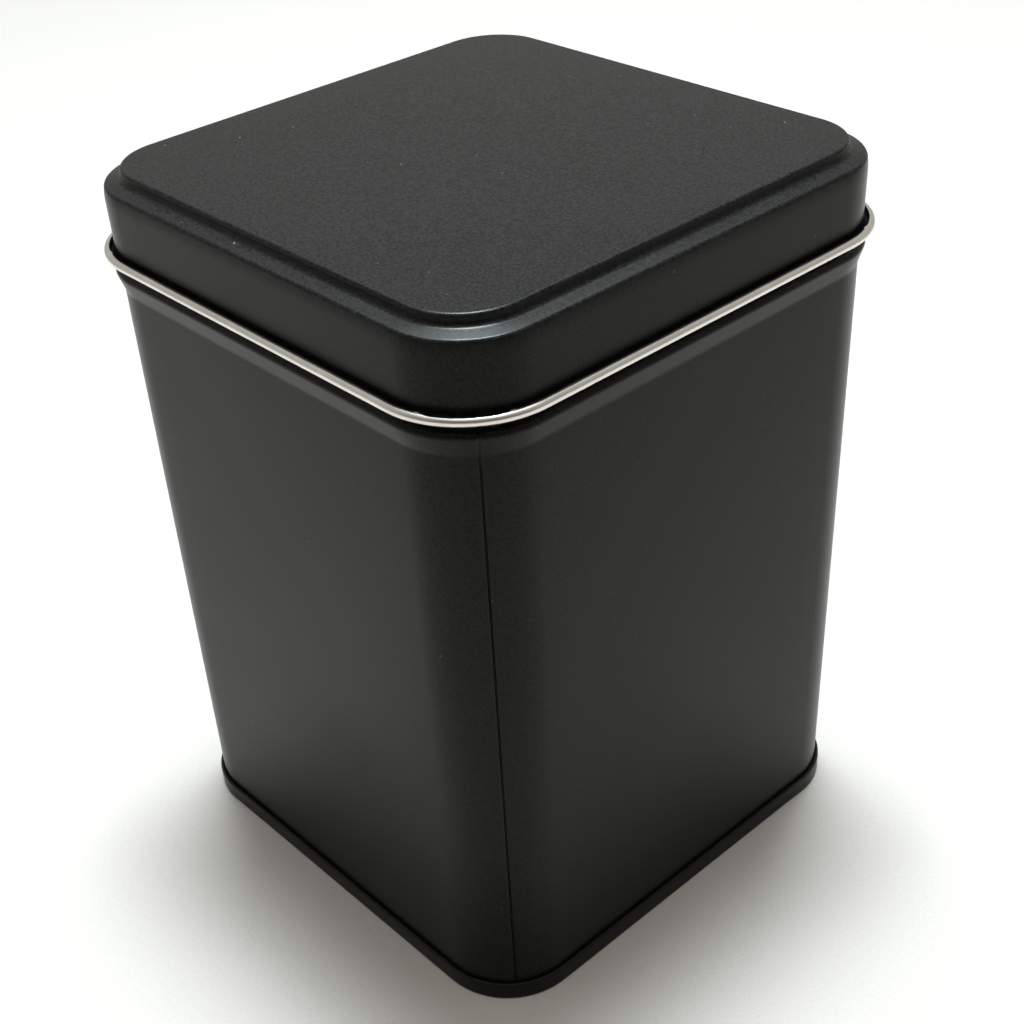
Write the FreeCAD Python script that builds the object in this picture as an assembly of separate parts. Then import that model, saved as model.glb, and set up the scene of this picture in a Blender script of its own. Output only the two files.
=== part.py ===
import FreeCAD, Part
import math
import os

# Square tin of thin tinplate with rounded corners and a slip-on lid. Millimetres, +Z up.
# The origin is on the standing plane, in the middle of the tin. Every sheet-metal section is drawn
# as the middle line of the sheet, in a plane where x is the distance from the tin's axis and z is
# the height, and is then carried round the tin: straight along the sides, and turned about the
# corner axis at the corners.

# ---- driving dimensions ----
sheet = 0.21                     # tinplate thickness
body_width = 85.0                # across the outside of two opposite walls
corner_radius = 12.15            # outside of the body's corners
overall_height = 119.2           # standing plane to the top of the lid

# lid
lid_width = 85.6                 # across the outside of the skirt
panel_width = 79.94              # across the raised panel
panel_rise = 1.9                 # raised panel above the middle of the ledge
panel_edge_radius = 0.5          # outside of the panel's edge
panel_foot_radius = 0.9          # hollow where the panel meets the ledge
ledge_slope = 12.0               # the ledge falls outwards by this much
ledge_edge_radius = 0.6          # outside of the lid's upper edge
skirt_lean = 11.0                # the top of the skirt leans in by this much, below that edge
skirt_lean_radius = 9.0          # middle of the sheet, from there to the upright skirt
curl_width = 89.0                # across the outside of the curl
curl_radius = 0.7                # outside of the curl
curl_drop = 12.34                # panel top down to the middle of the curl
lip_angle = 114.0                # how far the curl closes past its widest point, along the sides
trim_angle = 49.0                # the lip is trimmed in the corners: its length, about the corner axis
seam_lip_angle = 64.0            # how far the trimmed lip closes, over the side seam
other_lip_angle = 102.0          # the same, in the other three corners

# body
neck_inset = 0.15                # neck under the lid, inside the wall's line
bead_depth = 0.85                # bead outside the wall's line
bead_drop = 2.9                  # middle of the curl down to the crown of the bead
bead_lower_height = 3.2          # crown of the bead to its lower foot
bead_upper_height = 1.35         # crown of the bead to its upper foot
bead_crown_radius = 0.7          # middle of the sheet, over the crown
bead_foot_radius = 2.5           # the same, at the lower foot
bead_root_radius = 0.5           # the same, at the upper foot
top_gap = 0.15                   # under the lid's ledge, when the lid is on
hem_radius = 0.62                # middle of the sheet, in the rolled top edge
hem_turn = 285.0                 # how far the top edge is rolled

# side seam, a folded lock seam in one corner
seam_direction = -38.0           # about the corner's axis, degrees from +X
seam_gap = 0.03                  # between the layers of the seam
seam_hook = 2.7                  # length of each folded hook
hook_gap = 0.1                   # from the end of each hook to the fold that holds it
joggle_radius = 0.36             # middle of the sheet, where it steps in behind the other edge
seam_groove = 0.06               # between the two edges, at its narrowest
seam_bottom = 3.4                # the folded layers start above the bottom end
lap_groove = 0.2                 # between the two edges, where they are only lapped
lap_length = 3.0                 # plain lap over the bead and up the neck
lap_weld = 0.03                  # how far the lapped sheets are pressed into each other

# bottom end and its double seam
rim_height = 3.3                 # double seam, standing plane to its top
rim_gap = 0.02                   # between the layers of the double seam
hook_length = 1.75               # body hook, above its bend
cover_hook_length = 1.85         # cover hook, below its bend
end_recess = 3.0                 # standing plane up to the underside of the recessed panel
rim_flat = 0.3                   # flat strip that the tin stands on
end_edge_radius = 0.6            # middle of the sheet, round the recessed panel

# ---- worked out from them ----
half_sheet = sheet / 2
corner_centre = body_width / 2 - corner_radius
wall_line = body_width / 2 - half_sheet
skirt_line = lid_width / 2 - half_sheet
step_line = panel_width / 2 - half_sheet
ledge_top = overall_height - panel_rise
curl_middle = overall_height - curl_drop
curl_line_radius = curl_radius - half_sheet
curl_axis = curl_width / 2 - curl_radius
layer_pitch = sheet + rim_gap
rim_depth = 2 * layer_pitch                # half the seam's thickness, middle to middle of the sheet
rim_bend = rim_depth - rim_flat / 2
seam_pitch = sheet + seam_gap
corner_line = corner_radius - half_sheet
plate_half_width = corner_centre + 4.0     # flat plates stop here and the swept sheet goes on
bead_crown = curl_middle - bead_drop
neck_top = ledge_top - sheet - top_gap - hem_radius - half_sheet
bead_foot = bead_crown - bead_lower_height
lock_top = bead_foot - 1.0
OVERLAP = 0.4                              # flat plates run this far into the swept sheet

UP = FreeCAD.Vector(0, 0, 1)
QUARTER = 90.0
FULL_TURN = 360.0
SEAM_CORNER = 3                            # quarter turns from the +X +Y corner to the seam's corner


# ---- sheet-metal sections ----
def direction(angle):
    """Unit step (first, second) in the section plane."""
    return math.cos(math.radians(angle)), math.sin(math.radians(angle))


def walk(start, heading, moves):
    """Follow a middle line of ("line", length) and ("arc", radius, turn) moves.

    A positive turn bends to the left. Returns a list of pieces, each with its two ends, its two
    headings and, for an arc, its middle point and radius.
    """
    pieces = []
    first, second = start
    for move in moves:
        across, along = direction(heading)
        if move[0] == "line":
            end = (first + across * move[1], second + along * move[1])
            pieces.append(("line", (first, second), end, heading, heading, None, None))
        else:
            radius, turn = move[1], move[2]
            side = math.copysign(1.0, turn)
            centre = (first - along * radius * side, second + across * radius * side)
            new_across, new_along = direction(heading + turn)
            end = (centre[0] + new_along * radius * side, centre[1] - new_across * radius * side)
            pieces.append(("arc", (first, second), end, heading, heading + turn, centre, radius * side))
            heading += turn
        first, second = end
    return pieces


def sheet_face(start, heading, moves, to_point):
    """The sheet's section: a band one sheet thick along a middle line, as a face."""
    pieces = walk(start, heading, moves)

    def beside(point, angle, offset):
        across, along = direction(angle)
        return to_point(point[0] - along * offset, point[1] + across * offset)

    def side_edges(offset):
        edges = []
        for kind, begin, end, angle_in, angle_out, centre, radius in pieces:
            first = beside(begin, angle_in, offset)
            last = beside(end, angle_out, offset)
            if kind == "line":
                edges.append(Part.LineSegment(first, last).toShape())
            else:
                angle_mid = (angle_in + angle_out) / 2
                across, along = direction(angle_mid)
                middle_point = (centre[0] + along * radius, centre[1] - across * radius)
                middle = beside(middle_point, angle_mid, offset)
                edges.append(Part.Arc(first, middle, last).toShape())
        return edges

    left = side_edges(half_sheet)
    right = side_edges(-half_sheet)
    begin, angle_begin = pieces[0][1], pieces[0][3]
    end, angle_end = pieces[-1][2], pieces[-1][4]
    caps = [
        Part.LineSegment(beside(begin, angle_begin, half_sheet), beside(begin, angle_begin, -half_sheet)),
        Part.LineSegment(beside(end, angle_end, half_sheet), beside(end, angle_end, -half_sheet)),
    ]
    edges = left + right + [cap.toShape() for cap in caps]
    return Part.Face(Part.Wire(Part.__sortEdges__(edges)))


def upright(first, second):
    """A section point as a point of the XZ plane."""
    return FreeCAD.Vector(first, 0, second)


def level(first, second):
    """A section point as a point of the XY plane."""
    return FreeCAD.Vector(first, second, 0)


# ---- carrying a section round the tin ----
def turned(face, begin, end):
    """The section turned about the corner axis of the +X +Y corner, between two angles."""
    axis = FreeCAD.Vector(corner_centre, corner_centre, 0)
    placed = face.copy()
    placed.translate(FreeCAD.Vector(0, corner_centre, 0))
    placed.rotate(axis, UP, begin)
    return placed.revolve(axis, UP, end - begin)


def along_side(face):
    """The section carried along the straight part of the +X side."""
    placed = face.copy()
    placed.translate(FreeCAD.Vector(0, -corner_centre, 0))
    return placed.extrude(FreeCAD.Vector(0, 2 * corner_centre, 0))


def four_times(solids):
    """The same solids on all four sides and corners."""
    copies = []
    for quarter in range(4):
        for solid in solids:
            copy = solid.copy()
            copy.rotate(FreeCAD.Vector(0, 0, 0), UP, quarter * QUARTER)
            copies.append(copy)
    return copies


def all_round(face):
    """The section carried round all four sides and corners."""
    return four_times([along_side(face), turned(face, 0, QUARTER)])


def joined(solids):
    """One solid from pieces that meet face to face."""
    result = solids[0].fuse(solids[1:]).removeSplitter()
    return result.Solids[0] if len(result.Solids) == 1 else result


def flat_plate(bottom):
    """A rounded square plate, one sheet thick, that fills the middle of a swept panel."""
    half = plate_half_width + OVERLAP
    radius = half - corner_centre
    box = Part.makeBox(2 * half, 2 * half, sheet, FreeCAD.Vector(-half, -half, bottom))
    upright_edges = [edge for edge in box.Edges if abs(edge.Length - sheet) < sheet / 10]
    return box.makeFillet(radius, upright_edges)


# ---- lid ----
def lid_face(lip):
    """Panel edge, step, ledge, skirt and the outward curl at the skirt's foot."""
    step_radius = panel_edge_radius - half_sheet
    foot_radius = panel_foot_radius + half_sheet
    edge_radius = ledge_edge_radius - half_sheet
    flare_radius = curl_axis - skirt_line
    skirt_foot = curl_middle - curl_line_radius + flare_radius
    slope_across, slope_down = direction(ledge_slope)
    lean_across, lean_down = direction(skirt_lean)
    foot_reach = foot_radius * (1.0 - slope_down)
    edge_reach = edge_radius * (lean_across - slope_down) + skirt_lean_radius * (1.0 - lean_across)
    edge_drop = edge_radius * (slope_across - lean_down) + skirt_lean_radius * lean_down
    ledge = (skirt_line - step_line - foot_reach - edge_reach) / slope_across
    half_drop = ledge * slope_down / 2
    moves = [
        ("line", step_line - step_radius - plate_half_width),
        ("arc", step_radius, -QUARTER),
        ("line", panel_rise - step_radius - foot_radius * slope_across - half_drop),
        ("arc", foot_radius, QUARTER - ledge_slope),
        ("line", ledge),
        ("arc", edge_radius, ledge_slope + skirt_lean - QUARTER),
        ("arc", skirt_lean_radius, -skirt_lean),
        ("line", ledge_top - half_sheet - half_drop - edge_drop - skirt_foot),
        ("arc", flare_radius, QUARTER),
        ("arc", curl_line_radius, QUARTER + lip),
    ]
    return sheet_face((plate_half_width, overall_height - half_sheet), 0, moves, upright)


def make_lid():
    full = lid_face(lip_angle)
    trim_begin = (QUARTER - trim_angle) / 2
    trim_end = QUARTER - trim_begin
    solids = four_times([along_side(full), turned(full, 0, trim_begin), turned(full, trim_end, QUARTER)])
    for corner in range(4):
        lip = seam_lip_angle if corner == SEAM_CORNER else other_lip_angle
        trimmed = turned(lid_face(lip), trim_begin, trim_end)
        trimmed.rotate(FreeCAD.Vector(0, 0, 0), UP, corner * QUARTER)
        solids.append(trimmed)
    return joined(solids + [flat_plate(overall_height - sheet)])


# ---- body ----
def bead_flank(depth, height, foot_radius):
    """Angle and straight length of one flank of the bead, of this depth from foot to crown."""
    radii = bead_crown_radius + foot_radius
    angle = math.atan2(height, radii - depth) - math.acos(radii / math.hypot(height, radii - depth))
    straight = height * math.cos(angle) + (depth - radii) * math.sin(angle)
    return math.degrees(angle), straight


def bead_and_neck(inward):
    """Moves over the bead and up to the rolled edge, for a sheet moved inward by this much."""
    angle_low, flank_low = bead_flank(bead_depth, bead_lower_height, bead_foot_radius)
    angle_high, flank_high = bead_flank(bead_depth + neck_inset, bead_upper_height, bead_root_radius)
    return [
        ("arc", bead_foot_radius + inward, -angle_low),
        ("line", flank_low),
        ("arc", bead_crown_radius - inward, angle_low + angle_high),
        ("line", flank_high),
        ("arc", bead_root_radius + inward, -angle_high),
        ("line", neck_top - bead_crown - bead_upper_height),
    ]


def body_face():
    """Body hook of the double seam, wall, bead, neck and the rolled top edge."""
    bend = layer_pitch
    bend_height = sheet + rim_gap + half_sheet + bend
    moves = [
        ("line", hook_length),
        ("arc", bend, -2 * QUARTER),
        ("line", bead_foot - bend_height),
    ]
    moves += bead_and_neck(0)
    moves.append(("arc", hem_radius, hem_turn))
    start = (wall_line + 2 * bend, bend_height + hook_length)
    return sheet_face(start, -QUARTER, moves, upright)


def seam_corner(face, begin, end):
    """A section turned about the axis of the seam's corner, between two directions."""
    solid = turned(face, begin + QUARTER, end + QUARTER)
    solid.rotate(FreeCAD.Vector(0, 0, 0), UP, SEAM_CORNER * QUARTER)
    return solid


def sector(inner, outer, bottom, top, begin, end):
    """A block of the seam's corner between two radii, two heights and two directions."""
    corners = [(inner, bottom), (outer, bottom), (outer, top), (inner, top), (inner, bottom)]
    points = [upright(corner_centre + radius, height) for radius, height in corners]
    return seam_corner(Part.Face(Part.makePolygon(points)), begin, end)


def seam_sheet(begin, heading, moves):
    """One side of the lock seam: a level section that starts in the wall, made full height."""
    across, along = direction(begin)
    start = (corner_line * across, corner_line * along)
    face = sheet_face(start, heading, moves, level)
    face.translate(FreeCAD.Vector(corner_centre, -corner_centre, seam_bottom))
    return face.extrude(FreeCAD.Vector(0, 0, lock_top - seam_bottom))


def corner_angle(length):
    """The angle about the corner's axis that a length along the wall takes."""
    return math.degrees(length / corner_radius)


def joggle(outer, inner):
    """Two equal bends that step the sheet from one layer in to another.

    Returns the first bend's turn, the second's, and the angle about the corner's axis they take.
    """
    first = outer - joggle_radius
    second = inner + joggle_radius
    across = 2 * joggle_radius
    at_axis = math.acos((first ** 2 + second ** 2 - across ** 2) / (2 * first * second))
    at_first = math.acos((first ** 2 + across ** 2 - second ** 2) / (2 * first * across))
    turn_in = FULL_TURN / 2 - math.degrees(at_first)
    taken = math.degrees(at_axis)
    return turn_in, turn_in - taken, taken


def lock_seam():
    """The sheet's two folded edges, hooked into each other inside the corner.

    Returns both, and the two directions between which they take the wall's place.
    """
    layer = [corner_line - number * seam_pitch for number in range(4)]
    half_groove = corner_angle(seam_groove / 2)
    fold_size = corner_angle(seam_pitch + half_sheet)
    hook = corner_angle(seam_hook)
    outer_fold = seam_direction + half_groove + fold_size
    inner_fold = outer_fold + hook + corner_angle(hook_gap)
    outer_begin = inner_fold + 2 * fold_size
    outer_sheet = seam_sheet(outer_begin, outer_begin - QUARTER, [
        ("arc", layer[0], outer_fold - outer_begin),
        ("arc", seam_pitch, -2 * QUARTER),
        ("arc", layer[2], hook),
    ])
    turn_in, turn_back, taken = joggle(layer[0], layer[3])
    joggle_begin = seam_direction - half_groove - corner_angle(joggle_radius + half_sheet)
    inner_begin = joggle_begin - fold_size
    inner_sheet = seam_sheet(inner_begin, inner_begin + QUARTER, [
        ("arc", layer[0], joggle_begin - inner_begin),
        ("arc", joggle_radius, turn_in),
        ("arc", joggle_radius, -turn_back),
        ("arc", layer[3], inner_fold - joggle_begin - taken),
        ("arc", seam_pitch, -2 * QUARTER),
        ("arc", layer[1], -hook),
    ])
    return [outer_sheet, inner_sheet], inner_begin, outer_begin


def lap():
    """The plain lap over the bead and up the neck: a second sheet pressed against the first."""
    inward = sheet - lap_weld
    moves = [("line", bead_foot - lock_top)] + bead_and_neck(inward)
    face = sheet_face((wall_line - inward, lock_top), QUARTER, moves, upright)
    return seam_corner(face, seam_direction - corner_angle(lap_length / 2),
                       seam_direction + corner_angle(lap_length / 2))


def make_body():
    """One rolled sheet: its two edges meet in the side seam."""
    ring = joined(all_round(body_face()))
    folded_edges, seam_begin, seam_end = lock_seam()
    seam_depth = 4 * seam_pitch
    bead_reach = corner_radius + bead_depth + sheet
    wall_cut = sector(corner_radius - seam_depth, bead_reach, seam_bottom, lock_top, seam_begin, seam_end)
    half_slit = corner_angle(lap_groove / 2)
    lap_cut = sector(corner_radius - seam_depth, bead_reach, lock_top, neck_top,
                     seam_direction - half_slit, seam_direction + half_slit)
    return joined([ring.cut([wall_cut, lap_cut])] + folded_edges + [lap()])


# ---- bottom end ----
def end_face():
    """Recessed panel's edge, chuck wall, rim, seaming wall and cover hook."""
    chuck_line = wall_line - layer_pitch
    panel_line = end_recess + half_sheet
    seaming_height = rim_height - half_sheet - layer_pitch
    moves = [
        ("line", chuck_line - end_edge_radius - plate_half_width),
        ("arc", end_edge_radius, -QUARTER),
        ("line", panel_line - end_edge_radius - half_sheet - rim_bend),
        ("arc", rim_bend, QUARTER),
        ("line", rim_flat),
        ("arc", rim_bend, QUARTER),
        ("line", seaming_height - half_sheet - rim_bend),
        ("arc", layer_pitch, 2 * QUARTER),
        ("line", cover_hook_length),
    ]
    return sheet_face((plate_half_width, panel_line), 0, moves, upright)


def make_bottom_end():
    return joined(all_round(end_face()) + [flat_plate(end_recess)])


nodes = {
    "lid": make_lid(),
    "body": make_body(),
    "bottom_end": make_bottom_end(),
}
os.makedirs("parts", exist_ok=True)
for name, shape in nodes.items():
    box = shape.BoundBox
    print(name, shape.ShapeType, len(shape.Solids), shape.isValid(), round(shape.Volume, 1),
          [round(value, 2) for value in (box.XMin, box.XMax, box.YMin, box.YMax, box.ZMin, box.ZMax)])
    shape.exportStep("parts/" + name + ".step")
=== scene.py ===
import math
import bpy
import numpy as np
from mathutils import Matrix, Vector


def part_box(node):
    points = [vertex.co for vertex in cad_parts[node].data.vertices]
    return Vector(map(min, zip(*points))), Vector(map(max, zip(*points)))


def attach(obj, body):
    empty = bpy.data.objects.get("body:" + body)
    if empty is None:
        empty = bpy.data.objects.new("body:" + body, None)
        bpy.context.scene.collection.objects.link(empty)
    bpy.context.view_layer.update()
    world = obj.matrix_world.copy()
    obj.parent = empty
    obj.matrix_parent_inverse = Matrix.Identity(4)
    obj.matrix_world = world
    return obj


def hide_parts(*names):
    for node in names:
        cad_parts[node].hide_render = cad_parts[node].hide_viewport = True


# A square tin with a slip-on lid. The sheet metal is drawn as in the CAD model: the middle line of
# the sheet, in a plane where x is the distance from the tin's axis and z is the height, is carried
# round the tin. Sizes are in millimetres up to the moment that a mesh is made.
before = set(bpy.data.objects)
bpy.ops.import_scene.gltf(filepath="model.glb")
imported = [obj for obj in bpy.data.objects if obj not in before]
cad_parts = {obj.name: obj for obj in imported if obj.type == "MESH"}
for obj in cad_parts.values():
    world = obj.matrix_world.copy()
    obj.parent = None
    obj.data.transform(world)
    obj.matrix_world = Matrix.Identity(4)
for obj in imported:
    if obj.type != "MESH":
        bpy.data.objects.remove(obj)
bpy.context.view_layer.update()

MM = 0.001
QUARTER = 90.0

# ---- sizes from the frame ----
lid_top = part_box("lid")[1] / MM
body_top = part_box("body")[1] / MM
end_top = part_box("bottom_end")[1] / MM
overall_height = round(lid_top.z, 2)
curl_width = round(2 * lid_top.x, 2)
rim_height = round(end_top.z, 2)

# ---- driving dimensions, as in the CAD model ----
sheet = 0.21
corner_radius = 12.15
lid_width = 85.6
panel_width = 79.94
panel_rise = 1.9                 # raised panel above the middle of the ledge
panel_edge_radius = 0.5          # outside of the bend at the panel's edge
panel_foot_radius = 0.9          # inside of the bend where the step meets the ledge
ledge_slope = 12.0               # degrees, down towards the skirt
ledge_edge_radius = 0.6
skirt_lean = 11.0                # degrees the skirt's top leans out, down to where it is upright
skirt_lean_radius = 9.0
curl_radius = 0.7
curl_drop = 12.34                # middle of the curl below the lid's top
lip_angle = 114.0                # how far the curl turns past its outermost point, on the sides
trim_angle = 49.0                # degrees of each corner where the curl's lip is trimmed
seam_lip_angle = 64.0            # the same where it is trimmed, in the corner over the side seam
other_lip_angle = 102.0          # and in the other three corners
neck_inset = 0.15                # the neck stands this far inside the wall's line
bead_depth = 0.85
bead_drop = 2.9                  # bead's crown below the middle of the curl
bead_lower_height = 3.2          # from the bead's foot up to its crown
bead_upper_height = 1.35         # from its crown up to the neck
bead_crown_radius = 0.7
bead_foot_radius = 2.5
bead_root_radius = 0.5
top_gap = 0.15                   # between the rolled top edge and the ledge over it
hem_radius = 0.62
hem_turn = 285.0
seam_turn = 52.0                 # the side seam, about the axis of its corner
seam_bottom = 3.4
rim_gap = 0.02
hook_length = 1.75
cover_hook_length = 1.85
end_recess = 3.0
rim_flat = 0.3
end_edge_radius = 0.6

# ---- details that only the finished surface has ----
corner_slope = 15.0              # the ledge slopes a little more in the corners
panel_dish = 0.12                # how far the middle of the lid's panel lies below its edge
wall_bow = 0.10                  # how far the middle of each wall lies inside the wall's line
burr_height = 0.14               # marks of the trimming tool at both ends of a trimmed lip
groove_half = 0.035              # side seam: half the gap between the two edges
outer_fold_radius = 0.345        # outside of the folded edge on one side of the gap
joggle_fold_radius = 0.465       # outside of the bend on the other side
groove_depth = 0.42              # in the folded part of the seam
lap_groove_depth = 0.20          # in the lapped part, over the bead and the neck
strip_height = 0.72              # the folded layers stand this far inside the wall
strip_end = 3.52                 # along the wall, from the gap to the end of the folded layers
strip_fold_radius = 0.345
lap_height = 0.18                # the lapped sheet stands this far inside
lap_half = 1.5                   # half the length of the lap

# ---- worked out from them ----
half_sheet = sheet / 2
body_width = round(2 * (body_top.x - bead_depth), 2)
corner_centre = body_width / 2 - corner_radius
wall_line = body_width / 2 - half_sheet
skirt_line = lid_width / 2 - half_sheet
step_line = panel_width / 2 - half_sheet
ledge_top = overall_height - panel_rise
curl_middle = overall_height - curl_drop
curl_line_radius = curl_radius - half_sheet
curl_axis = curl_width / 2 - curl_radius
layer_pitch = sheet + rim_gap
rim_bend = 2 * layer_pitch - rim_flat / 2
plate_half_width = corner_centre + 4.0
bead_crown = curl_middle - bead_drop
bead_foot = bead_crown - bead_lower_height
neck_top = ledge_top - sheet - top_gap - hem_radius - half_sheet
lock_top = bead_foot - 1.0
trim_begin = (QUARTER - trim_angle) / 2
SEAM_CORNER = 3


# ---- sheet-metal sections ----
def direction(angle):
    return math.cos(math.radians(angle)), math.sin(math.radians(angle))


def middle_line(start, heading, moves):
    """Points (x, z, heading) along ("line", length, spans) and ("arc", radius, turn, spans) moves.

    A positive turn bends to the left.
    """
    x, z = start
    points = [(x, z, heading)]
    for move in moves:
        spans = move[-1]
        across, along = direction(heading)
        if move[0] == "line":
            for step in range(1, spans + 1):
                length = move[1] * step / spans
                points.append((x + across * length, z + along * length, heading))
        else:
            radius = move[1] * math.copysign(1.0, move[2])
            centre_x = x - along * radius
            centre_z = z + across * radius
            for step in range(1, spans + 1):
                angle = heading + move[2] * step / spans
                new_across, new_along = direction(angle)
                points.append((centre_x + new_along * radius, centre_z - new_across * radius, angle))
            heading += move[2]
        x, z = points[-1][:2]
    return np.array(points)


def smooth_step(low, high, value):
    """0 below low, 1 above high, and a smooth rise between them."""
    share = np.clip((value - low) / (high - low), 0.0, 1.0)
    return share * share * (3.0 - 2.0 * share)


def hump(middle, reach, value):
    return np.exp(-((value - middle) / reach) ** 2)


# ---- stations round the tin ----
def even_angles(count):
    """Angles inside a quarter turn, without its two ends."""
    return [QUARTER * number / count for number in range(1, count)]


def stations(side_spans, corner_angles):
    """Where the section is placed, anticlockwise from the start of the +X side.

    Each row is: base x and y, direction of the section, corner number (-1 on a side), angle inside
    the corner, place along the side from -1 to 1, and the run along the wall.
    """
    rows = []
    for side in range(4):
        facing = QUARTER * side
        out_x, out_y = direction(facing)
        for number in range(side_spans + 1):
            place = 2.0 * number / side_spans - 1.0
            base_x = corner_centre * (out_x - place * out_y)
            base_y = corner_centre * (out_y + place * out_x)
            run = side * (2 * corner_centre + math.radians(QUARTER) * corner_radius)
            run += (place + 1.0) * corner_centre
            rows.append((base_x, base_y, facing, -1, 0.0, place, run))
        for angle in corner_angles[side]:
            corner_run = run + math.radians(angle) * corner_radius
            base_x = corner_centre * (out_x - out_y)
            base_y = corner_centre * (out_y + out_x)
            rows.append((base_x, base_y, facing + angle, side, angle, 1.0, corner_run))
    return np.array(rows)


def placed(ring, x, z):
    """Section points as points in space: one row of points for each station."""
    out_x = np.cos(np.radians(ring[:, 2]))[:, None]
    out_y = np.sin(np.radians(ring[:, 2]))[:, None]
    reach = x - corner_centre
    return np.stack([ring[:, 0:1] + out_x * reach, ring[:, 1:2] + out_y * reach, z], axis=2)


# ---- making a closed sheet ----
LACQUER, BARE = 0, 1


def sheet_sides(lines):
    """The two sides of the sheet, for middle lines of shape (stations, points, 3)."""
    x, z, heading = lines[..., 0], lines[..., 1], np.radians(lines[..., 2])
    left = np.stack([x - np.sin(heading) * half_sheet, z + np.cos(heading) * half_sheet], axis=2)
    right = np.stack([x + np.sin(heading) * half_sheet, z - np.cos(heading) * half_sheet], axis=2)
    return left, right


class Shell:
    """Points and faces of one closed piece of sheet metal."""

    def __init__(self, ring):
        self.ring = ring
        self.points = []
        self.faces = []
        self.finishes = []
        self.marks = []

    def add_rows(self, rows, along):
        """One row of points for each station. along is each point's length along the section."""
        first = len(self.points)
        for station, row in enumerate(rows):
            self.points.extend(row.tolist())
            self.marks.extend((self.ring[station, 6], length) for length in along)
        return np.arange(first, len(self.points)).reshape(rows.shape[:2])

    def add_band(self, numbers, finish):
        """Faces between neighbouring columns of a grid of point numbers, all the way round."""
        here = numbers
        after = np.roll(numbers, -1, axis=0)
        quads = np.stack([here[:, :-1], here[:, 1:], after[:, 1:], after[:, :-1]], axis=2)
        self.faces.extend(quads.reshape(-1, 4).tolist())
        self.finishes.extend([finish] * (quads.size // 4))

    def add_plate(self, edge_numbers, edge, dish, finish, upward):
        """Fill a flat panel inside a ring of points, with rings that shrink to the middle."""
        columns = [edge_numbers]
        shares = [0.96, 0.9, 0.8, 0.68, 0.55, 0.42, 0.3, 0.19, 0.09]
        for share in shares:
            row = edge.copy()
            row[:, :2] *= share
            row[:, 2] -= dish(row[:, 0], row[:, 1])
            first = len(self.points)
            self.points.extend(row.tolist())
            self.marks.extend((x, y) for x, y in row[:, :2].tolist())
            columns.append(np.arange(first, len(self.points)))
        grid = np.stack(columns, axis=1)
        self.add_band(grid[:, ::-1] if upward else grid, finish)
        middle = len(self.points)
        self.points.append((0.0, 0.0, float(edge[:, 2].mean() - dish(np.zeros(1), np.zeros(1))[0])))
        self.marks.append((0.0, 0.0))
        inner = grid[:, -1].tolist()
        for here, after in zip(inner, inner[1:] + inner[:1]):
            self.faces.append((middle, here, after) if upward else (middle, after, here))
            self.finishes.append(finish)

    def make(self, name, materials):
        mesh = bpy.data.meshes.new(name)
        mesh.from_pydata([[value * MM for value in point] for point in self.points], [], self.faces)
        for material in materials:
            mesh.materials.append(material)
        mesh.polygons.foreach_set("material_index", self.finishes)
        layer = mesh.uv_layers.new(name="along_sheet")
        corners = np.zeros(len(mesh.loops), dtype=np.int32)
        mesh.loops.foreach_get("vertex_index", corners)
        marks = np.array(self.marks)[corners] * MM
        layer.data.foreach_set("uv", marks.astype(np.float32).ravel())
        mesh.polygons.foreach_set("use_smooth", [True] * len(mesh.polygons))
        mesh.set_sharp_from_angle(angle=math.radians(38.0))
        mesh.validate()
        piece = bpy.data.objects.new(name, mesh)
        bpy.context.scene.collection.objects.link(piece)
        return piece


def section_lengths(line):
    steps = np.hypot(np.diff(line[:, 0]), np.diff(line[:, 1]))
    return np.concatenate([[0.0], np.cumsum(steps)])


# ---- lid ----
LIP_SPANS = 30
BURR_SPANS = 6                   # the last points of the lip, which a burr lifts
SLOPE_CHANGE = 24.0              # degrees of a corner in which the ledge's slope changes

# Round the ends of a trimmed lip, in degrees inside the trimmed part: where the lip changes, where the
# burr is and how far it reaches, and the places where the section is drawn.
LIP_CHANGE = (-0.6, 4.4)
BURR_MIDDLE = -1.4
BURR_REACH = 2.2
TRIM_MARKS = [-4.5, -3.6, -2.9, -2.3, -1.8, -1.3, -0.8, -0.3, 0.2, 0.7, 1.2, 1.8, 2.6, 3.6]


def lid_line(slope, lip):
    """Panel edge, step, ledge, skirt and the outward curl at the skirt's foot."""
    step_radius = panel_edge_radius - half_sheet
    foot_radius = panel_foot_radius + half_sheet
    edge_radius = ledge_edge_radius - half_sheet
    flare_radius = curl_axis - skirt_line
    skirt_foot = curl_middle - curl_line_radius + flare_radius
    slope_across, slope_down = direction(slope)
    lean_across, lean_down = direction(skirt_lean)
    foot_reach = foot_radius * (1.0 - slope_down)
    edge_reach = edge_radius * (lean_across - slope_down)
    lean_reach = skirt_lean_radius * (1.0 - lean_across)
    ledge = (skirt_line - step_line - foot_reach - edge_reach - lean_reach) / slope_across
    ledge_drop = ledge * slope_down
    step = panel_rise - step_radius - foot_radius * slope_across - ledge_drop / 2
    edge_drop = edge_radius * (slope_across - lean_down) + skirt_lean_radius * lean_down
    skirt = ledge_top - half_sheet - ledge_drop / 2 - edge_drop - skirt_foot
    moves = [
        ("line", step_line - step_radius - plate_half_width, 4),
        ("arc", step_radius, -QUARTER, 14),
        ("line", step, 1),
        ("arc", foot_radius, QUARTER - slope, 16),
        ("line", ledge, 4),
        ("arc", edge_radius, slope + skirt_lean - QUARTER, 14),
        ("arc", skirt_lean_radius, -skirt_lean, 8),
        ("line", skirt, 8),
        ("arc", flare_radius, QUARTER, 12),
        ("arc", curl_line_radius, QUARTER + lip, LIP_SPANS),
    ]
    return middle_line((plate_half_width, overall_height - half_sheet), 0, moves)


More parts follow.
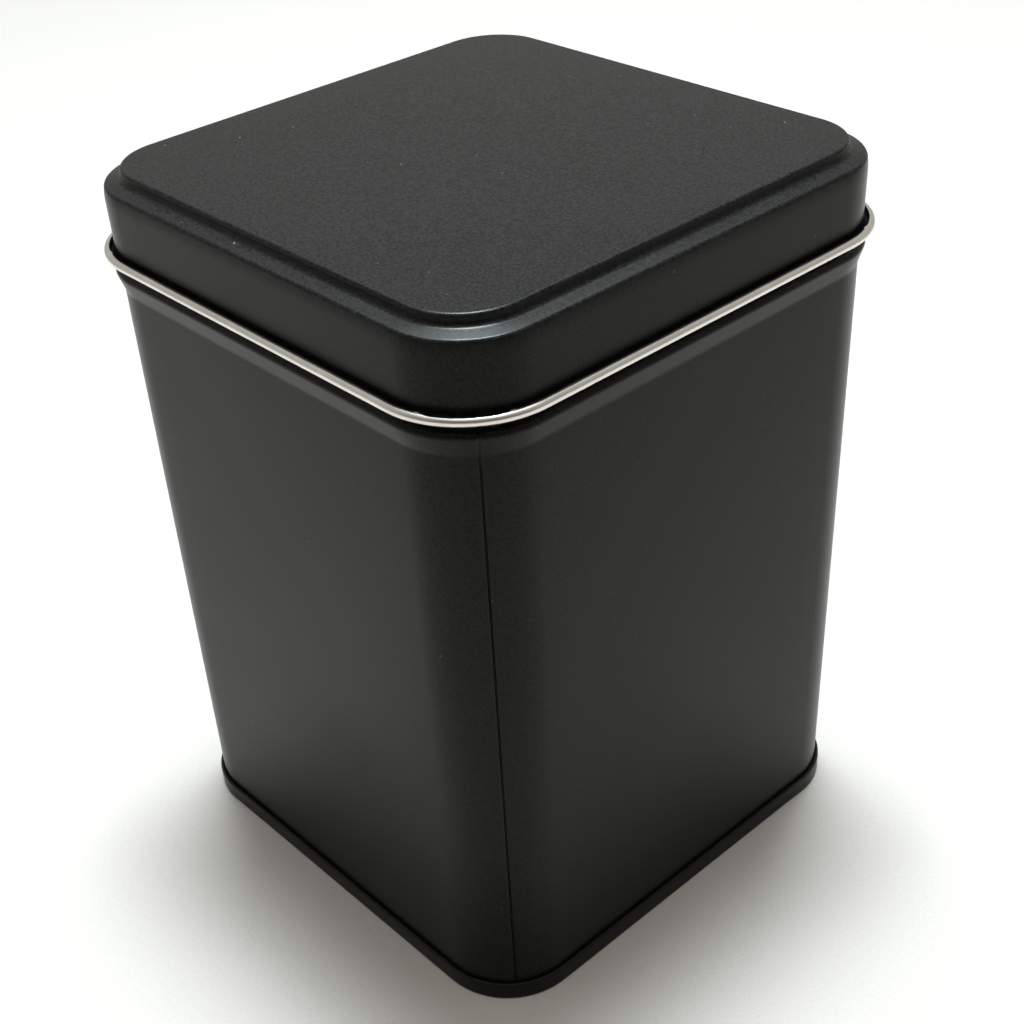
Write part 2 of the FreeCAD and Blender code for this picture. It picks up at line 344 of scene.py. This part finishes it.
def lip_at(station):
    """How far the curl closes at a station, in degrees, and how far a burr lifts its edge there."""
    corner, angle, run = int(station[3]), station[4], station[6]
    ripple = 1.2 * math.sin(run * 0.31) + 0.8 * math.sin(run * 0.83 + 1.0)
    full = lip_angle + ripple
    if corner < 0:
        return full, 0.0
    trimmed = seam_lip_angle if corner == SEAM_CORNER else other_lip_angle
    inside = min(angle - trim_begin, QUARTER - trim_begin - angle)
    lip = full + (trimmed + 0.5 * ripple - full) * smooth_step(*LIP_CHANGE, inside)
    first_end = angle < QUARTER / 2
    burr = burr_height * hump(BURR_MIDDLE, BURR_REACH, inside) * (1.0 if first_end else 0.8)
    return float(lip), float(burr)


def slope_at(station):
    """How far the ledge slopes at a station."""
    angle = station[4]
    from_side = min(angle, QUARTER - angle)
    return ledge_slope + (corner_slope - ledge_slope) * smooth_step(0.0, SLOPE_CHANGE, from_side)


def panel_drop(x, y):
    """How far the lid's panel is dished at a point."""
    share_x = np.clip(1.0 - (x / plate_half_width) ** 2, 0.0, 1.0)
    share_y = np.clip(1.0 - (y / plate_half_width) ** 2, 0.0, 1.0)
    return panel_dish * np.sqrt(share_x * share_y) * smooth_step(0.0, 0.35, share_x * share_y)


def make_lid(materials):
    near_ends = [trim_begin + mark for mark in TRIM_MARKS]
    angles = even_angles(16) + near_ends + [QUARTER - angle for angle in near_ends]
    ring = stations(12, [sorted(set(angles))] * 4)
    lines = []
    for station in ring:
        lip, burr = lip_at(station)
        line = lid_line(slope_at(station), lip)
        line[-BURR_SPANS:, 1] += burr * np.linspace(0.0, 1.0, BURR_SPANS)
        lines.append(line)
    lines = np.array(lines)
    left, right = sheet_sides(lines)
    shell = Shell(ring)
    along = section_lengths(lines[0])
    top = placed(ring, left[..., 0], left[..., 1])
    underside = placed(ring, right[..., 0], right[..., 1])[:, ::-1]
    top_numbers = shell.add_rows(top, along)
    under_numbers = shell.add_rows(underside, along[::-1])
    shell.add_band(top_numbers, LACQUER)
    shell.add_band(np.stack([top_numbers[:, -1], under_numbers[:, 0]], axis=1), BARE)
    shell.add_band(under_numbers, BARE)
    shell.add_plate(top_numbers[:, 0], top[:, 0], panel_drop, LACQUER, True)
    shell.add_plate(under_numbers[:, -1], underside[:, -1], panel_drop, BARE, False)
    return shell.make("lid_pressing", materials)


# ---- body ----
HOOK_SPANS = 12
HEM_SPANS = 34


def bead_flank(depth, height, foot_radius):
    """Angle and straight length of one flank of the bead, of this depth from foot to crown."""
    radii = bead_crown_radius + foot_radius
    angle = math.atan2(height, radii - depth) - math.acos(radii / math.hypot(height, radii - depth))
    straight = height * math.cos(angle) + (depth - radii) * math.sin(angle)
    return math.degrees(angle), straight


def body_line():
    """Body hook of the double seam, wall, bead, neck and the rolled top edge."""
    bend_height = sheet + rim_gap + half_sheet + layer_pitch
    angle_low, flank_low = bead_flank(bead_depth, bead_lower_height, bead_foot_radius)
    angle_high, flank_high = bead_flank(bead_depth + neck_inset, bead_upper_height, bead_root_radius)
    moves = [
        ("line", hook_length, 2),
        ("arc", layer_pitch, -2 * QUARTER, HOOK_SPANS),
        ("line", seam_bottom - bend_height, 3),
        ("line", lock_top - seam_bottom, 40),
        ("line", bead_foot - lock_top, 6),
        ("arc", bead_foot_radius, -angle_low, 10),
        ("line", flank_low, 6),
        ("arc", bead_crown_radius, angle_low + angle_high, 16),
        ("line", flank_high, 3),
        ("arc", bead_root_radius, -angle_high, 8),
        ("line", neck_top - bead_crown - bead_upper_height, 8),
        ("arc", hem_radius, hem_turn, HEM_SPANS),
    ]
    start = (wall_line + 2 * layer_pitch, bend_height + hook_length)
    return middle_line(start, -QUARTER, moves)


FAR_FROM_SEAM = 99.0             # stands for "not in the seam's corner"

# Places across the side seam, in millimetres from its gap, where the section is drawn: close together
# where the outside or the inside of the sheet turns sharply.
SEAM_MARKS = [
    -2.4, -1.9, -1.55, -1.45, -1.0, -0.75, -0.6, -0.5, -0.42, -0.34, -0.27, -0.2, -0.15, -0.1, -0.07,
    -0.05, -0.035, -0.02, 0.0, 0.02, 0.035, 0.05, 0.07, 0.1, 0.15, 0.2, 0.27, 0.34, 0.45, 0.7, 1.0, 1.45,
    1.55, 2.0, 2.6, 3.17, 3.28, 3.38, 3.46, 3.51, 3.53, 3.6, 4.2,
]


def groove(offset, depth):
    """Depth of the gap between two rounded edges, at this distance along the wall from its middle."""
    radius = np.where(offset > 0, outer_fold_radius, joggle_fold_radius)
    into = np.clip(radius + groove_half - np.abs(offset), 0.0, radius)
    shoulder = radius - np.sqrt(radius ** 2 - into ** 2)
    return np.minimum(np.where(np.abs(offset) < groove_half, depth, shoulder), depth)


def folded_strip(offset):
    """Height of the folded layers inside the wall, at this distance along it from the gap."""
    rise = smooth_step(-0.75, -0.27, offset)
    into = np.clip(offset - (strip_end - strip_fold_radius), 0.0, strip_fold_radius)
    round_off = strip_fold_radius - np.sqrt(strip_fold_radius ** 2 - into ** 2)
    return np.where(offset > strip_end, 0.0, strip_height * rise - round_off)


def lapped_strip(offset):
    """Height of the plain lap, which ends in a cut edge on one side and in the gap on the other."""
    return lap_height * smooth_step(-lap_half - 0.05, -lap_half + 0.05, offset) \
        * smooth_step(-lap_half - 0.05, -lap_half + 0.05, -offset)


def make_body(materials):
    seam_angles = [seam_turn + math.degrees(mark / corner_radius) for mark in SEAM_MARKS]
    clear = [a for a in even_angles(20) if not seam_angles[0] - 1.0 < a < seam_angles[-1] + 1.0]
    corner_angles = [even_angles(20)] * 3 + [sorted(clear + seam_angles)]
    ring = stations(14, corner_angles)
    line = body_line()
    lines = np.repeat(line[None], len(ring), axis=0)
    height = line[None, :, 1]
    on_wall = np.zeros(len(line), dtype=bool)
    on_wall[HOOK_SPANS + 2:-HEM_SPANS] = True
    place = ring[:, 5:6]
    side = (ring[:, 3:4] < 0).astype(float)
    wall_middle = (seam_bottom + bead_foot) / 2
    wall_half = (bead_foot - seam_bottom) / 2
    level = np.clip(1.0 - ((height - wall_middle) / wall_half) ** 2, 0.0, 1.0)
    bow = wall_bow * side * np.clip(1.0 - place ** 2, 0.0, 1.0) ** 2 * level
    lines[..., 0] -= np.where(on_wall[None], bow, 0.0)
    left, right = sheet_sides(lines)

    from_gap = np.radians(ring[:, 4] - seam_turn) * corner_radius
    offset = np.where(ring[:, 3] == SEAM_CORNER, from_gap, FAR_FROM_SEAM)[:, None]
    in_lock = smooth_step(seam_bottom - 0.1, seam_bottom + 0.1, height) * on_wall[None]
    in_lap = smooth_step(lock_top - 0.05, lock_top + 0.05, height)
    gap = groove(offset, groove_depth) * (1.0 - in_lap) + groove(offset, lap_groove_depth) * in_lap
    raised = folded_strip(offset) * (1.0 - in_lap) + lapped_strip(offset) * in_lap
    inward_x = -np.sin(np.radians(lines[..., 2]))
    inward_z = np.cos(np.radians(lines[..., 2]))
    right[..., 0] += inward_x * gap * in_lock
    right[..., 1] += inward_z * gap * in_lock
    left[..., 0] += inward_x * raised * in_lock
    left[..., 1] += inward_z * raised * in_lock

    shell = Shell(ring)
    along = section_lengths(line)
    inner = shell.add_rows(placed(ring, left[..., 0], left[..., 1]), along)
    outer = shell.add_rows(placed(ring, right[..., 0], right[..., 1])[:, ::-1], along[::-1])
    shell.add_band(inner, BARE)
    shell.add_band(np.stack([inner[:, -1], outer[:, 0]], axis=1), BARE)
    shell.add_band(outer, LACQUER)
    shell.add_band(np.stack([outer[:, -1], inner[:, 0]], axis=1), BARE)
    return shell.make("body_wrap", materials)


# ---- bottom end ----
def end_line():
    """Recessed panel's edge, chuck wall, rim, seaming wall and cover hook."""
    chuck_line = wall_line - layer_pitch
    panel_line = end_recess + half_sheet
    seaming_height = rim_height - half_sheet - layer_pitch
    moves = [
        ("line", chuck_line - end_edge_radius - plate_half_width, 4),
        ("arc", end_edge_radius, -QUARTER, 12),
        ("line", panel_line - end_edge_radius - half_sheet - rim_bend, 3),
        ("arc", rim_bend, QUARTER, 8),
        ("line", rim_flat, 1),
        ("arc", rim_bend, QUARTER, 8),
        ("line", seaming_height - half_sheet - rim_bend, 4),
        ("arc", layer_pitch, 2 * QUARTER, 14),
        ("line", cover_hook_length, 2),
    ]
    return middle_line((plate_half_width, panel_line), 0, moves)


def no_drop(x, y):
    return np.zeros_like(x)


def make_bottom_end(materials):
    ring = stations(8, [even_angles(20)] * 4)
    line = end_line()
    lines = np.repeat(line[None], len(ring), axis=0)
    left, right = sheet_sides(lines)
    shell = Shell(ring)
    along = section_lengths(line)
    inside = placed(ring, left[..., 0], left[..., 1])
    outside = placed(ring, right[..., 0], right[..., 1])[:, ::-1]
    inner = shell.add_rows(inside, along)
    outer = shell.add_rows(outside, along[::-1])
    shell.add_band(inner, BARE)
    shell.add_band(np.stack([inner[:, -1], outer[:, 0]], axis=1), BARE)
    shell.add_band(outer, LACQUER)
    shell.add_plate(inner[:, 0], inside[:, 0], no_drop, BARE, True)
    shell.add_plate(outer[:, -1], outside[:, -1], no_drop, LACQUER, False)
    return shell.make("bottom_end_pressing", materials)


# ---- materials ----
class Nodes:
    """The nodes of a material or a world, with short calls to add a node and to link it."""

    def __init__(self, owner, shader):
        self.owner = owner
        owner.use_nodes = True
        self.tree = owner.node_tree
        self.shader = self.tree.nodes[shader]

    def add(self, kind, settings=None, **inputs):
        node = self.tree.nodes.new(kind)
        for key, value in (settings or {}).items():
            setattr(node, key, value)
        for key, value in inputs.items():
            self.feed(node.inputs[key.replace("_", " ")], value)
        return node

    def feed(self, socket, value):
        if isinstance(value, bpy.types.NodeSocket):
            self.tree.links.new(value, socket)
        else:
            socket.default_value = value

    def noise(self, place, size, detail=2.0, roughness=0.5):
        """Noise whose lumps are about this many millimetres across."""
        node = self.add("ShaderNodeTexNoise", Scale=1.0 / (size * MM), Detail=detail, Roughness=roughness)
        self.tree.links.new(place, node.inputs["Vector"])
        return node.outputs["Fac"]

    def rise(self, value, start):
        """A smooth rise from 0 at start to 1 at 1."""
        settings = {"interpolation_type": "SMOOTHSTEP"}
        return self.add("ShaderNodeMapRange", settings, Value=value, From_Min=start).outputs["Result"]

    def spread(self, value, low, high, to_low, to_high):
        """A straight rise from to_low at low to to_high at high."""
        node = self.add("ShaderNodeMapRange", Value=value)
        for key, number in (("From Min", low), ("From Max", high), ("To Min", to_low), ("To Max", to_high)):
            node.inputs[key].default_value = number
        return node.outputs["Result"]

    def math(self, operation, first, second):
        node = self.add("ShaderNodeMath", {"operation": operation})
        self.feed(node.inputs[0], first)
        self.feed(node.inputs[1], second)
        return node.outputs["Value"]

    def mix(self, share, first, second):
        node = self.add("ShaderNodeMix", {"data_type": "RGBA"})
        self.feed(node.inputs["Factor"], share)
        self.feed(node.inputs[6], first)
        self.feed(node.inputs[7], second)
        return node.outputs[2]

    def bump(self, height, strength, distance, normal=None):
        node = self.add("ShaderNodeBump", Height=height, Strength=strength, Distance=distance * MM)
        if normal is not None:
            self.tree.links.new(normal, node.inputs["Normal"])
        return node.outputs["Normal"]


def grey(value, red=1.0, green=1.0, blue=1.0):
    return (value * red, value * green, value * blue, 1.0)


def lacquer_material():
    """Matt black baked lacquer: fine grain, orange peel, a little dust and faint rubbed patches."""
    nodes = Nodes(bpy.data.materials.new("black_lacquer"), "Principled BSDF")
    place = nodes.add("ShaderNodeTexCoord").outputs["Object"]
    grain = nodes.noise(place, 0.42, 3.0, 0.7)
    peel = nodes.noise(place, 1.1, 2.0, 0.5)
    rubbed = nodes.noise(place, 24.0, 4.0, 0.6)
    tone = nodes.mix(nodes.spread(grain, 0.4, 0.6, 0.0, 1.0), grey(0.0012, 0.96, 1.0, 1.02),
                     grey(0.0074, 1.0, 1.0, 0.94))
    cells = nodes.add("ShaderNodeTexVoronoi", Scale=1.0 / (3.4 * MM))
    nodes.tree.links.new(place, cells.inputs["Vector"])
    close = nodes.spread(cells.outputs["Distance"], 0.028, 0.045, 1.0, 0.0)
    split = nodes.add("ShaderNodeSeparateColor", Color=cells.outputs["Color"])
    chosen = nodes.spread(split.outputs["Red"], 0.30, 1.0, 0.0, 1.0)
    dust = nodes.math("MULTIPLY", close, chosen)
    colour = nodes.mix(nodes.math("MULTIPLY", dust, 0.30), tone, grey(0.5))
    nodes.feed(nodes.shader.inputs["Base Color"], colour)
    fine = nodes.spread(grain, 0.3, 0.7, -0.03, 0.03)
    broad = nodes.spread(rubbed, 0.35, 0.65, 0.30, 0.34)
    nodes.feed(nodes.shader.inputs["Roughness"], nodes.math("ADD", fine, broad))
    nodes.shader.inputs["Specular IOR Level"].default_value = 0.14
    nodes.shader.inputs["Specular Tint"].default_value = (0.955, 1.0, 0.935, 1.0)
    coarse = nodes.bump(peel, 0.5, 0.010)
    nodes.feed(nodes.shader.inputs["Normal"], nodes.bump(grain, 0.6, 0.008, coarse))
    return nodes.owner


def tinplate_material():
    """Bare tinplate: bright tin over rolled steel, with fine lines along the rolling direction."""
    nodes = Nodes(bpy.data.materials.new("bare_tinplate"), "Principled BSDF")
    place = nodes.add("ShaderNodeTexCoord").outputs["Object"]
    marks = nodes.add("ShaderNodeUVMap", {"uv_map": "along_sheet"}).outputs["UV"]
    stretch = nodes.add("ShaderNodeMapping")
    nodes.tree.links.new(marks, stretch.inputs["Vector"])
    stretch.inputs["Scale"].default_value = (0.03, 1.0, 1.0)
    lines = nodes.noise(stretch.outputs["Vector"], 0.09, 3.0, 0.6)
    cloud = nodes.noise(place, 5.0, 3.0, 0.6)
    tone = nodes.mix(nodes.spread(cloud, 0.3, 0.7, 0.0, 1.0), grey(0.70, 1.0, 0.955, 0.895),
                     grey(0.80, 1.0, 0.965, 0.915))
    nodes.feed(nodes.shader.inputs["Base Color"], tone)
    nodes.shader.inputs["Metallic"].default_value = 1.0
    fine = nodes.spread(lines, 0.3, 0.7, -0.03, 0.03)
    broad = nodes.spread(cloud, 0.3, 0.7, 0.14, 0.20)
    nodes.feed(nodes.shader.inputs["Roughness"], nodes.math("ADD", fine, broad))
    nodes.feed(nodes.shader.inputs["Normal"], nodes.bump(lines, 0.35, 0.004))
    return nodes.owner


def floor_material():
    """Plain board with a very faint tooth: a light grey that the lights bring up to nearly white."""
    nodes = Nodes(bpy.data.materials.new("pale_board"), "Principled BSDF")
    place = nodes.add("ShaderNodeTexCoord").outputs["Object"]
    tooth = nodes.noise(place, 0.6, 2.0, 0.5)
    tone = nodes.mix(nodes.spread(tooth, 0.3, 0.7, 0.0, 1.0), grey(0.275, 1.05, 1.0, 0.91),
                     grey(0.295, 1.05, 1.0, 0.91))
    nodes.feed(nodes.shader.inputs["Base Color"], tone)
    nodes.shader.inputs["Roughness"].default_value = 0.7
    nodes.shader.inputs["Specular IOR Level"].default_value = 0.2
    return nodes.owner


# ---- surroundings ----
def add_floor():
    """A large plain board that the tin stands on."""
    half = 3.0
    mesh = bpy.data.meshes.new("floor")
    mesh.from_pydata([(-half, -half, 0), (half, -half, 0), (half, half, 0), (-half, half, 0)], [],
                     [(0, 1, 2, 3)])
    mesh.materials.append(floor_material())
    floor = bpy.data.objects.new("floor", mesh)
    bpy.context.scene.collection.objects.link(floor)


def add_light(name, azimuth, elevation, distance, width, length, power, colour):
    """A soft light that faces the middle of the tin.

    Azimuth is the side it stands on, in degrees from -Y towards +X.
    """
    aim = Vector((0, 0, overall_height / 2 * MM))
    out = Vector((
        math.sin(math.radians(azimuth)) * math.cos(math.radians(elevation)),
        -math.cos(math.radians(azimuth)) * math.cos(math.radians(elevation)),
        math.sin(math.radians(elevation)),
    ))
    data = bpy.data.lights.new(name, "AREA")
    data.energy = power
    data.shape = "RECTANGLE"
    data.size = width
    data.size_y = length
    data.color = colour
    light = bpy.data.objects.new(name, data)
    light.location = aim + out * distance
    light.rotation_euler = (-out).to_track_quat("-Z", "Y").to_euler()
    bpy.context.scene.collection.objects.link(light)
    return light


def add_world(towards, near, far, upward):
    """Soft surroundings: one colour on the side at this azimuth, one on the far side, one overhead."""
    world = bpy.data.worlds.new("studio")
    bpy.context.scene.world = world
    nodes = Nodes(world, "Background")
    way = nodes.add("ShaderNodeTexCoord").outputs["Generated"]
    side = nodes.add("ShaderNodeVectorMath", {"operation": "DOT_PRODUCT"})
    nodes.feed(side.inputs[0], way)
    nodes.feed(side.inputs[1], (math.sin(math.radians(towards)), -math.cos(math.radians(towards)), 0))
    height = nodes.add("ShaderNodeSeparateXYZ", Vector=way).outputs["Z"]
    level = nodes.mix(nodes.rise(side.outputs["Value"], -0.3), far, near)
    nodes.feed(nodes.shader.inputs["Color"], nodes.mix(nodes.rise(height, 0.7), level, upward))


def add_camera():
    """The camera, by where it stands and the way it looks."""
    azimuth = math.radians(49.234)
    elevation = math.radians(36.273)
    roll = math.radians(-3.666)
    position = Vector((166.6, -145.3, 202.9)) * MM
    data = bpy.data.cameras.new("camera")
    data.lens = 55.70
    data.sensor_width = 36.0
    data.shift_x = 0.0123
    data.shift_y = 0.0742
    data.clip_start = 0.01
    back = Vector((
        math.sin(azimuth) * math.cos(elevation),
        -math.cos(azimuth) * math.cos(elevation),
        math.sin(elevation),
    ))
    level = Vector((math.cos(azimuth), math.sin(azimuth), 0))
    upright = back.cross(level)
    right = level * math.cos(roll) + upright * math.sin(roll)
    turn = Matrix((right, back.cross(right), back)).transposed()
    camera = bpy.data.objects.new("camera", data)
    camera.matrix_world = Matrix.Translation(position) @ turn.to_4x4()
    bpy.context.scene.collection.objects.link(camera)
    bpy.context.scene.camera = camera


# ---- the scene ----
finishes = [lacquer_material(), tinplate_material()]
for make, body, node, slot in (
    (make_lid, "lid", "lid", "lid_lacquer"),
    (make_body, "tin", "body", "body_lacquer"),
    (make_bottom_end, "tin", "bottom_end", "bottom_lacquer"),
):
    piece = make(finishes)
    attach(piece, body)
    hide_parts(node)

add_floor()
# Dim and warm on the camera's side, paler on the far side and brightest overhead.
add_world(49.0, grey(0.18, 1.20, 0.96, 0.82), grey(0.49, 1.0, 0.995, 0.92), grey(1.15, 0.97, 1.0, 1.0))
# A high light that draws the bright lines on the near corner, and a wider one behind it for the ledge.
add_light("top", 222.0, 79.0, 1.2, 0.38, 0.26, 42.0, (0.92, 1.0, 1.08))
add_light("glow", 229.0, 62.0, 1.3, 0.9, 0.6, 7.0, (0.93, 1.0, 1.05))
# A fill for the floor in front of the tin, which makes no highlight of its own.
front_fill = add_light("front_fill", 49.0, 74.0, 1.3, 0.8, 0.8, 6.5, (1.0, 1.0, 1.0))
front_fill.visible_glossy = False
add_camera()
bpy.context.scene.view_settings.view_transform = "Standard"
